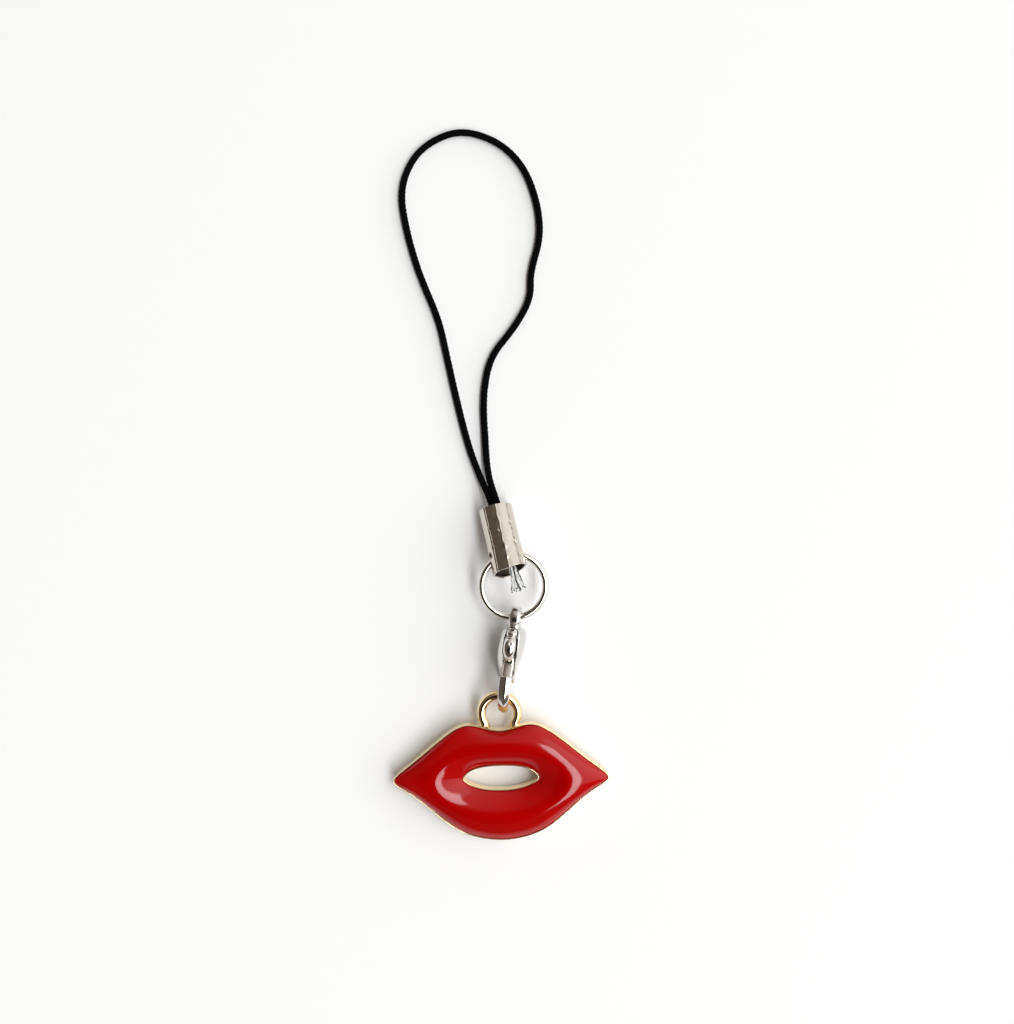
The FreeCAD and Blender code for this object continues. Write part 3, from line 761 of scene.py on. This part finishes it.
# Each strand's own tone; the dark ones are dark yarn and painted shade between strands.
strand_tone_and_gap_shade = {"Geometry": trimmed, "Name": "shade", "Value": chance(0, 1, 3)}
shaded = geo(tuft, "StoreNamedAttribute", strand_tone_and_gap_shade, data_type="FLOAT", domain="CURVE")
threads = swept(tuft, shaded, tuft_in["Radius"], 7)
tips = geo(tuft, "CurveEndpointSelection", {"Start Size": 0, "End Size": 1})
bead = geo(tuft, "MeshIcoSphere", {"Radius": tuft_in["Bead radius"], "Subdivisions": 2})
beads = geo(tuft, "InstanceOnPoints", {"Points": trimmed, "Selection": tips, "Instance": bead})
end_nodes(tuft, tuft_in, joined(tuft, threads, beads))

# %% [markdown]
# The strands are silvery with dark flecks, and each has a shade of its own. The dark strands are dark yarn
# and also painted shade for the gaps between strands.

# %% Strand mesh
def silver_strands():
    """Silvery yarn with dark flecks, lighter on some strands than on others."""
    material, tree, shader, where = surface("strand_silver")
    own = add(tree, "ShaderNodeAttribute", out="Fac", attribute_name="shade")
    fleck = mottle(tree, where, 4500, 2)
    mottled = calc(tree, "ADD", times(tree, own, 0.6), times(tree, fleck, 0.5))
    # Strands below 0.42 turn dark: dark yarn, and painted shade for the gaps between strands.
    stops = [(0.42, (0.02, 0.02, 0.02)), (0.5, (0.5, 0.5, 0.49)), (0.8, (0.85, 0.85, 0.83))]
    fill(tree, shader, {"Base Color": ramp(tree, mottled, stops), "Roughness": 0.35})
    return material


tuft_line = [(0.3, -4.8, 0.75), (0.35, -6.6, 1.2), (0.42, -8, 1.25), (0.5, -9.6, 0.75), (0.55, -10.9, 0.25)]
tuft_steps = [(i, i + 1) for i in range(len(tuft_line) - 1)]
tuft_mesh = bpy.data.meshes.new("cord_tails_tuft")
tuft_mesh.from_pydata([crimp_place @ Vector(p) for p in tuft_line], tuft_steps, [])
tails = show("cord_tails_tuft", tuft_mesh)
strand_silver = silver_strands()
crimp_axes = crimp_place.to_3x3().normalized()
run_nodes(tails, tuft, {"Side": crimp_axes.col[0], "Up": crimp_axes.col[2], "Material": strand_silver})
dress(tails, "strap", strand_silver, "cord_tails")

# %% [markdown]
# ## The jump ring
# The ring is round wire bent once round a rod and closed, and its split sits inside the crimp tube. It is
# drawn as a circle that stops just short of itself, swept with a small circle.

# %% Jump ring
TRIANGLE = [(0, 0, 0), (1, 0, 0), (0, 1, 0)], [(0, 1, 2)]

wire_ring, ring_in = node_group("wire_ring", {"Radius": 3.9, "Wire radius": 0.4, "Split": radians(1.2)})
sweep = calc(wire_ring, "SUBTRACT", 2 * pi, ring_in["Split"])
first = calc(wire_ring, "ADD", pi / 2, times(wire_ring, ring_in["Split"], 0.5))
arc = {"Resolution": 180, "Radius": ring_in["Radius"], "Start Angle": first, "Sweep Angle": sweep}
arc = geo(wire_ring, "CurveArc", arc, mode="RADIUS")
end_nodes(wire_ring, ring_in, swept(wire_ring, arc, ring_in["Wire radius"], 28))

ring_nickel = plated("ring_nickel", (0.76, 0.72, 0.665), 0.1)
ring = run_nodes(piece("jump_ring_wire", *TRIANGLE), wire_ring, {"Material": ring_nickel})
ring.data.transform(ring_place)
dress(ring, "ring", ring_nickel, "jump_ring")

# %% [markdown]
# ## The lobster clasp
# The clasp is a small casting that stands on its spine, so that the camera looks at its thumb lever. One
# end is the eye for the jump ring. The belly is two cheeks with a slot between them, and the spine runs
# on into a hook that bends back over itself.
#
# The casting is drawn as one long tube of rings. A ring in the belly goes round the outside, over the
# edge of one cheek, down into the slot and up again to the other cheek. Towards both ends the slot gets
# shallower until the ring is a plain oval, and the hook goes on with the same rings round its bend.

# %% Clasp rings
RING_POINTS = 22


def keen(value, power):
    """A sine or cosine raised to a power with its sign kept, to square an oval."""
    return copysign(abs(value) ** power, value)


def clasp_ring(low, high, half, slot, floor, depth, corner, shift):
    """Points (x, z) once round the casting; depth 0 closes the slot and depth 1 opens it to its floor."""
    middle = (low + high) / 2
    tall = (high - low) / 2

    def outside(turn):
        return half * keen(cos(turn), corner) + shift, middle + tall * keen(sin(turn), corner)

    def roof(x):
        return middle + tall * max(0, 1 - abs(x / half) ** (2 / corner)) ** (corner / 2)

    def crest(lean):
        return acos(min(0.95, (slot + 0.1 + lean) / half) ** (1 / corner))

    first = crest(-shift)
    right = [outside(first - (first + pi / 2) * k / 7) for k in range(8)]
    first = crest(shift)
    left = [outside(pi - first + (first + pi / 2) * k / 7) for k in range(7)]
    points = right + list(reversed(left))
    for x, down in ((-1, 0.02), (-1, 0.3), (-0.85, 0.97), (0, 1), (0.85, 0.97), (1, 0.3), (1, 0.02)):
        top = roof(x * slot - shift * depth)
        points.append((x * slot + shift * (1 - depth), top - depth * down * (top - floor)))
    return points


def hook_ring(thick, half, ridge):
    """Points (x, depth) once round the hook in the same order: flat inside, a low ridge outside."""
    right = [(x * half, y * thick) for x, y in ((0.42, 1), (0.9, 0.97), (1, 0.82), (1, 0.55))]
    right.append((0.99 * half, ridge + 0.05))
    right += [(x * half, y * ridge) for x, y in ((0.92, 0.9), (0.54, 0.45), (0.12, 0))]
    left = [(-0.42 * half, 0.5 * ridge)] + [(-x, y) for x, y in reversed(right[:6])]
    return right + left + [(0.1 * k * half, thick) for k in range(-3, 4)]

# %% [markdown]
# Each row of the belly gives the distance from the eye's end, then what its ring needs: low and high
# edge, half its width, half the slot's width, the slot's floor and depth, how square it is and how far it
# leans aside. The hook's rings turn through half a circle, and a few more make its straight nose.

# %% Clasp body
HOOK_CENTRE = 9.95
HOOK_OUTER = 3.25
HOOK_THICK = 1
HOOK_HALF = 0.76
NOSE_HALF = 0.74
NOSE_TIP = 8.3
belly_stations = [
    (2.2, 2.5, 3.5, 0.5, 0.2, 3.4, 0, 0.9, 0),
    (2.45, 2.1, 4, 0.85, 0.3, 3.9, 0, 0.9, 0.03),
    (2.65, 1.55, 4.7, 1.22, 0.45, 4.4, 0, 0.9, 0.06),
    (2.9, 1, 5.15, 1.45, 0.66, 3.6, 0.5, 0.9, 0.1),
    (3.4, 0.45, 5.45, 1.6, 0.76, 1.4, 1, 0.95, 0.1),
    (4.2, 0.1, 5.62, 1.68, 0.82, 1, 1, 1, 0.05),
    (5.1, 0, 5.58, 1.72, 0.82, 1, 1, 1, -0.05),
    (5.9, 0, 5.32, 1.66, 0.76, 1, 1, 1, -0.12),
    (6.6, 0, 4.95, 1.52, 0.66, 1, 1, 1, -0.2),
    (7.3, 0, 4.55, 1.36, 0.65, 1, 1, 1, -0.26),
    (8, 0, 3.75, 1.2, 0.64, 1, 0.95, 0.95, -0.28),
    (8.6, 0, 2.45, 1.06, 0.6, 1, 0.7, 0.9, -0.27),
    (9.2, 0, 1.5, 0.94, 0.38, 1, 0, 0.85, -0.24),
    (9.6, 0, 1.08, 0.88, 0.34, 1, 0, 0.8, -0.2),
]
clasp_points = []
for length, *measures in belly_stations:
    clasp_points += [(x, -length, z) for x, z in clasp_ring(*measures)]
for turn in np.linspace(0, pi, 12):
    half = HOOK_HALF - 0.2 * sin(turn)
    ridge = 0.05 + 0.27 * min(1, 2 * turn / pi)
    lean = -0.16 * cos(turn / 2) ** 2
    for x, depth in hook_ring(HOOK_THICK, half, ridge):
        reach = HOOK_OUTER - depth
        y = -HOOK_CENTRE - reach * sin(turn)
        clasp_points.append((x + lean, y, HOOK_OUTER - reach * cos(turn)))
for past_tip, thick in ((1, 1), (0.5, 1), (0.15, 1), (0.03, 0.98), (0, 0.92)):
    for x, depth in hook_ring(thick, NOSE_HALF * thick, 0.32):
        clasp_points.append((x, -NOSE_TIP - past_tip, 2 * HOOK_OUTER - depth - 0.5 * (1 - thick)))
clasp_faces = tube_faces(len(clasp_points) // RING_POINTS, RING_POINTS)
clasp = rounder(piece("clasp_body_casting", clasp_points, clasp_faces))

# %% [markdown]
# The eye is a second mesh, a thick ring with a squarish section. It is joined to the tube, and the seam
# between them is smoothed as a casting's would be.

# %% Clasp eye
EYE_RADIUS = 1.08
EYE_WALL = 0.33
EYE_HALF_WIDTH = 0.69
EYE_STEPS = 72
EYE_ROUND = 24
EYE_CORNER = 0.85
CLASP_SHIFT = 0.14

eye_points = []
for ahead, up in circle(EYE_STEPS):
    for across, out in circle(EYE_ROUND):
        x = EYE_HALF_WIDTH * keen(across, EYE_CORNER)
        reach = EYE_RADIUS + EYE_WALL * keen(out, EYE_CORNER)
        eye_points.append((x, EYE_CENTRE[1] + reach * ahead, EYE_CENTRE[2] + reach * up))
combine(clasp, piece("eye", eye_points, grid_faces(EYE_STEPS, EYE_ROUND, wrap_rows=True)), "UNION")


def cast(holder, grain, passes):
    """Even out a mesh drawn in millimetres, as a casting comes out of its mould."""
    modify(holder, "REMESH", mode="VOXEL", voxel_size=grain)
    modify(holder, "SMOOTH", iterations=passes)
    settle(holder)
    shade_smooth(holder.data)
    return holder


cast_place = clasp_place @ Matrix.Translation((CLASP_SHIFT, 0, 0))
cast(clasp, 0.055, 4).data.transform(cast_place)

# %% [markdown]
# The plate is bright, and at the end of the hook it turns to a brass colour and is less metallic. The
# shader finds that end by the distance along the clasp.

# %% Clasp finish
CLASP_GRAIN = 1800
BRASS_TINT_FROM = -11.9
BRASS_TINT_TO = -12.05
BRASS_TINT_METALLIC = 0.35

clasp_nickel = plated("clasp_nickel", (0.74, 0.725, 0.70), 0.15, grain=CLASP_GRAIN, cloud=0.05)
clasp_tree = clasp_nickel.node_tree
at_point = add(clasp_tree, "ShaderNodeTexCoord", out="Object")
lengthwise = cast_place.inverted().row[1].copy()
distance = vector_calc(clasp_tree, "DOT_PRODUCT", at_point, lengthwise.xyz)
# Share of brass colour, from 0 before the hook's end to 1 at its tip.
brass_tint = scaled(clasp_tree, distance, (BRASS_TINT_FROM - lengthwise.w, BRASS_TINT_TO - lengthwise.w))
overlay(clasp_nickel, brass_tint, (0.66, 0.40, 0.11))
metallic = scaled(clasp_tree, brass_tint, (0, 1), (1, BRASS_TINT_METALLIC))
fill(clasp_tree, clasp_tree.nodes["Principled BSDF"], {"Metallic": metallic})
dress(clasp, "clasp", clasp_nickel, "clasp_body")

# %% [markdown]
# The thumb lever turns on a rivet between the cheeks. Its bar has a round knuckle at the rivet and a thin
# gate that rises to the hook's nose, and a leaf-shaped nub for the thumb stands on it with a small pit in
# its crown. Bar and nub are tubes of rings with rounded roofs, joined to one piece, and the rivet's bore
# is cut through it at the end.

# %% Clasp lever
RIVET = (0, -3.6, 4.4)
PIT = (0.12, -4.3, 6.84)
arch = [(1, 0), (0.87, 0.5), (0.5, 0.87), (0, 1), (-0.5, 0.87), (-0.87, 0.5), (-1, 0)]
bar_stations = [
    (2.7, 4.2, 4.8, 0.46, 0.25), (2.82, 3.85, 5.4, 0.62, 0.35), (3.1, 3.58, 5.72, 0.66, 0.42),
    (3.4, 3.58, 5.62, 0.66, 0.42), (3.6, 3.6, 5.25, 0.64, 0.3), (4.2, 3.8, 5.2, 0.62, 0.2),
    (5, 3.95, 5.1, 0.6, 0.2), (6, 4, 4.9, 0.6, 0.15), (6.6, 4.2, 4.62, 0.59, 0.1),
    (7.1, 4.3, 4.7, 0.59, 0.1), (7.8, 4.45, 4.98, 0.58, 0.1), (8.4, 4.62, 5.25, 0.57, 0.1),
    (8.85, 4.7, 5.4, 0.56, 0.1), (8.97, 4.8, 5.3, 0.5, 0.1),
]
nub_stations = [
    (3.42, 4.9, 5.6, 0.44, 0.25), (3.5, 4.9, 5.95, 0.54, 0.35), (3.75, 4.9, 6.45, 0.64, 0.42),
    (4.2, 4.9, 6.8, 0.71, 0.45), (4.9, 4.8, 6.92, 0.73, 0.45), (5.5, 4.7, 6.78, 0.67, 0.42),
    (6, 4.6, 6.45, 0.5, 0.36), (6.4, 4.6, 6.05, 0.28, 0.28), (6.6, 4.7, 5.7, 0.14, 0.2),
]


def arched_tube(name, stations):
    """A closed tube of rings (distance, low, high, half width, height of the rounded roof)."""
    points = []
    for length, low, high, half, roof in stations:
        shoulder = high - roof
        foot = low + 0.15 * (shoulder - low)
        section = [(half * x, shoulder + roof * z) for x, z in arch]
        flank = [(half, (shoulder + low) / 2), (half, foot), (0.85 * half, low)]
        section += [(-x, z) for x, z in flank] + [(0, low)] + flank[::-1]
        points += [(x, -length, z) for x, z in section]
    return rounder(piece(name, points, tube_faces(len(stations), len(section))))


lever = arched_tube("clasp_lever_thumb", bar_stations)
combine(lever, arched_tube("nub", nub_stations), "UNION")
combine(lever, rod("pit", 0.17, 0.3, PIT, 16), "DIFFERENCE")
cast(lever, 0.04, 2)
combine(lever, rod("lever_bore", 0.45, 6, (RIVET[0] - CLASP_SHIFT, *RIVET[1:]), 32), "DIFFERENCE")
lever.data.transform(cast_place)
lever_nickel = plated("lever_nickel", (0.78, 0.745, 0.70), 0.13, grain=CLASP_GRAIN, cloud=0.05)
dress(lever, "lever", lever_nickel, "clasp_lever")

pin = rod("clasp_rivet_pin", 0.4, 1.8, (CLASP_SHIFT, *RIVET[1:]), 32)
pin.data.transform(clasp_place)
dress(pin, "clasp", plated("rivet_steel", (0.7, 0.69, 0.68), 0.2), "clasp_rivet")

# %% [markdown]
# A small coil spring under the lever holds the gate shut. It is wire on a spiral, which the nodes draw.
# When the lever is pressed the coil gets shorter towards its foot. The spring keeps a mesh of its own.

# %% Clasp spring
SPRING_FOOT = Vector((0, -5.4, 1.12))

coil, coil_in = node_group("coil", {"Turns": 5.0, "Radius": 0.41, "Height": 2.735, "Wire radius": 0.09})
winding = geo(coil, "CurveSpiral", {
    "Resolution": 32, "Rotations": coil_in["Turns"], "Start Radius": coil_in["Radius"],
    "End Radius": coil_in["Radius"], "Height": coil_in["Height"],
})
end_nodes(coil, coil_in, swept(coil, winding, coil_in["Wire radius"], 12))

spring_steel = plated("spring_steel", (0.35, 0.34, 0.33), 0.25)
spring = run_nodes(piece("clasp_spring_coil", *TRIANGLE), coil, {"Material": spring_steel})
spring.data.transform(clasp_place @ Matrix.Translation(SPRING_FOOT))
dress(spring, "clasp", spring_steel, "clasp_spring")
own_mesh(spring)

# %% [markdown]
# ## Set glue
# The glue that holds the cord's ends inside the crimp is right as it was measured and only needs its
# finish. It is yellowish and a little shiny.

# %% Finish of the glue
yellows = [(0.3, (0.10, 0.085, 0.05)), (0.7, (0.2, 0.17, 0.1))]
plug = frame["nodes"]["cord_end_plug"]
plug.data.materials.clear()
plug.data.materials.append(dyed("set_glue", (900, 2), yellows, 0.35))
print("glue finish on", plug.name)

# %% [markdown]
# ## The lips: metal tray
# The pendant's metal is a shallow tray in the outline of lips with a lens-shaped mouth through it, cast
# with a thin rim that keeps the enamel in, and gold plated. Both outlines are smooth curves with the same
# number of points, so that a row of the mesh can run straight from one to the other.

# %% Outlines
OUTLINE_STEPS = 320


def mirrored(half):
    """A whole outline from its right half, from the top to the bottom."""
    return np.array(half + [(-x, y) for x, y in reversed(half[1:-1])])


def smooth_loop(points):
    """Evenly stepped points on the smooth closed curve through the given points."""
    size = len(points)
    own = np.eye(size)
    control = np.linalg.solve((4 * own + np.roll(own, 1, 0) + np.roll(own, -1, 0)) / 6, points)
    result = []
    for step in range(OUTLINE_STEPS):
        i, t = divmod(step * size / OUTLINE_STEPS, 1)
        parts = ((1 - t) ** 3, 3 * t ** 3 - 6 * t ** 2 + 4, -3 * t ** 3 + 3 * t ** 2 + 3 * t + 1, t ** 3)
        result.append(sum(b / 6 * control[(int(i) - 1 + k) % size] for k, b in enumerate(parts)))
    return np.array(result)


def inset(points, distance):
    """The outline moved sideways, inward for the lips."""
    ahead = np.roll(points, -1, 0) - np.roll(points, 1, 0)
    ahead /= np.linalg.norm(ahead, axis=1)[:, None]
    return points + np.column_stack((ahead[:, 1], -ahead[:, 0])) * distance


def sized(parts, wide, tall):
    """Points given as parts of a width and a height."""
    return [(x * wide, y * tall) for x, y in parts]


WIDE, PEAK, LOW = 13.3, 6.9, 7.75
bow = [(0, 6.2), (3.2, PEAK)]
upper_lip = [(0.43, 0.92), (0.64, 0.62), (0.86, 0.27), (1, 0)]
lower_lip = [(0.86, -0.2), (0.66, -0.48), (0.43, -0.8), (0.2, -0.96), (0, -1)]
lips = smooth_loop(mirrored(bow + sized(upper_lip, WIDE, PEAK) + sized(lower_lip, WIDE, LOW)))

GAP, UPPER, LOWER = 4.55, 1.7, 1.3
mouth_top = [(0, 1), (0.3, 0.97), (0.58, 0.86), (0.79, 0.67), (0.93, 0.4), (1, 0.1)]
mouth_bottom = [(0.93, -0.2), (0.79, -0.5), (0.58, -0.77), (0.3, -0.95), (0, -1)]
mouth = smooth_loop(mirrored(sized(mouth_top, GAP, UPPER) + sized(mouth_bottom, GAP, LOWER)))

# %% [markdown]
# The tray is one grid that closes both ways: round the lips, and in section up the outer wall, over the
# rim, across the floor, over the mouth's rim, down its wall and back under the base.

# %% Tray
RIM = 0.18
TRAY_FLOOR = 0.8
edge_profile = [
    (0.3, 0), (0.1, 0.02), (0.02, 0.1), (0, 0.25), (0, 0.8), (0, 1.4), (0.02, 1.52), (0.06, 1.585),
    (0.11, 1.59), (0.16, 1.54), (RIM, 1.45), (RIM, 0.95), (0.21, 0.82), (0.35, TRAY_FLOOR),
]


def level(outline, height):
    """An outline laid at a height."""
    return np.column_stack((outline, np.full(OUTLINE_STEPS, height)))


def closed_piece(name, rings, place=LOCAL):
    """A mesh over rings of outline points that closes both ways."""
    points = [tuple(p) for ring_points in rings for p in ring_points]
    return piece(name, points, grid_faces(len(rings), OUTLINE_STEPS, wrap_rows=True), place)


lip_rings = [level(inset(lips, d), z) for d, z in edge_profile]
mouth_rings = [level(inset(mouth, -d), z) for d, z in edge_profile]
between = (0.25, 0.5, 0.75)
across_floor = [lip_rings[-1] * (1 - t) + mouth_rings[-1] * t for t in between]
across_back = [mouth_rings[0] * (1 - t) + lip_rings[0] * t for t in between]
tray = closed_piece("charm_base_tray", lip_rings + across_floor + mouth_rings[::-1] + across_back)

# %% [markdown]
# The loop is cast with the tray. It stands on the cupid's bow as a round wire bent to a horseshoe, and
# its two legs run into the wall of the tray.

# %% Loop of the tray
LOOP_CENTRE = (0, 8.2, 0.75)
LOOP_RADIUS = 2.22
LOOP_WIRE = 0.57
LOOP_TALL = 1.04
LOOP_FOOT = (1.72, 6.35)
LOOP_ROUND = 28

loop_line = [(-LOOP_FOOT[0], LOOP_FOOT[1])]
for turn in np.linspace(radians(212), radians(-32), 61):
    loop_line.append((LOOP_RADIUS * cos(turn), LOOP_CENTRE[1] + LOOP_RADIUS * sin(turn)))
loop_line.append(LOOP_FOOT)
loop_points = []
for i, (x, y) in enumerate(loop_line):
    before = Vector(loop_line[max(0, i - 1)])
    after = Vector(loop_line[min(len(loop_line) - 1, i + 1)])
    ahead = (after - before).normalized()
    for out, up in circle(LOOP_ROUND):
        out *= LOOP_WIRE
        z = LOOP_CENTRE[2] + LOOP_TALL * LOOP_WIRE * up
        loop_points.append((x - ahead.y * out, y + ahead.x * out, z))
combine(tray, piece("loop", loop_points, tube_faces(len(loop_line), LOOP_ROUND)), "UNION")
tray.data.transform(charm_place)
shade_smooth(tray.data)
gold = plated("gold_plate", (0.95, 0.76, 0.46), 0.1, 0.1, grain=2600, cloud=0.08)
dress(tray, "charm", gold, "charm_base")

# %% [markdown]
# ## The lips: enamel
# The enamel was poured into the tray and set as a full, glossy dome. In section it swells steeply from
# the outer rim to a crest and then slopes down evenly to the mouth, where it ends in a short round edge.
# The crest keeps an even distance from the mouth, a little more at the corners and a little less on the
# upper lip.
#
# The mesh uses the two outlines of the tray, drawn in by the rim, and its bottom lies on the tray's
# floor. Its level lines are softened, because poured enamel doesn't follow the sharp bow of the rim.

# %% Enamel shape
DOME = 1.35
EDGE_HEIGHT = 1.5
ENAMEL_GAP = 0.02
FLANK_STEPS = 24
CREST_FROM_MOUTH = 2.8
MORE_AT_CORNERS = 1.4
LESS_ON_TOP = 0.8
KNOT = 16
SOFTNESS = 0.75

outer = inset(lips, RIM + ENAMEL_GAP)
inner = inset(mouth, -RIM - ENAMEL_GAP)
from_middle = np.linalg.norm(outer, axis=1)
topward = np.clip(outer[:, 1] / from_middle, 0, 1)
sideways = np.abs(outer[:, 0]) / from_middle
crest_distance = CREST_FROM_MOUTH + MORE_AT_CORNERS * sideways ** 2 - LESS_ON_TOP * topward
crest = 1 - crest_distance / np.linalg.norm(outer - inner, axis=1)

quarter_turn = np.linspace(0, pi / 2, FLANK_STEPS)
dome_section = [(crest * (1 - cos(turn)), sin(turn) ** 1.4) for turn in quarter_turn]
for turn in quarter_turn[1:]:
    inward = sin(turn)
    slope = (1 - 0.85 * inward ** 1.25) * max(0, 1 - inward ** 14) ** 0.5
    dome_section.append((crest + (1 - crest) * inward, slope))

enamel_rings = [level(outer, TRAY_FLOOR + ENAMEL_GAP)]
for across, swell in dome_section:
    knots = (outer * (1 - across[:, None]) + inner * across[:, None])[::KNOT]
    soft = SOFTNESS * sin(pi * across.mean())
    for _ in range(2):
        knots = knots * (1 - soft) + (np.roll(knots, 1, 0) + np.roll(knots, -1, 0)) * soft / 2
    enamel_rings.append(level(smooth_loop(knots), EDGE_HEIGHT + DOME * swell))
enamel_rings.append(level(inner, TRAY_FLOOR + ENAMEL_GAP))
enamel = closed_piece("charm_enamel_dome", enamel_rings, charm_place)

# %% [markdown]
# The colour is a deep red with slow clouds. The glaze is clear and has a faint ripple, which bends the
# reflections of the lamps a little.

# %% Enamel finish
reds = [(0.3, (0.39, 0, 0)), (0.7, (0.44, 0, 0))]
red_enamel = dyed("red_enamel", (220, 1), reds, 0.09, 0.36, (420, 1, 0.06, 0.2 * MM))
dress(enamel, "charm", red_enamel, "charm_enamel")
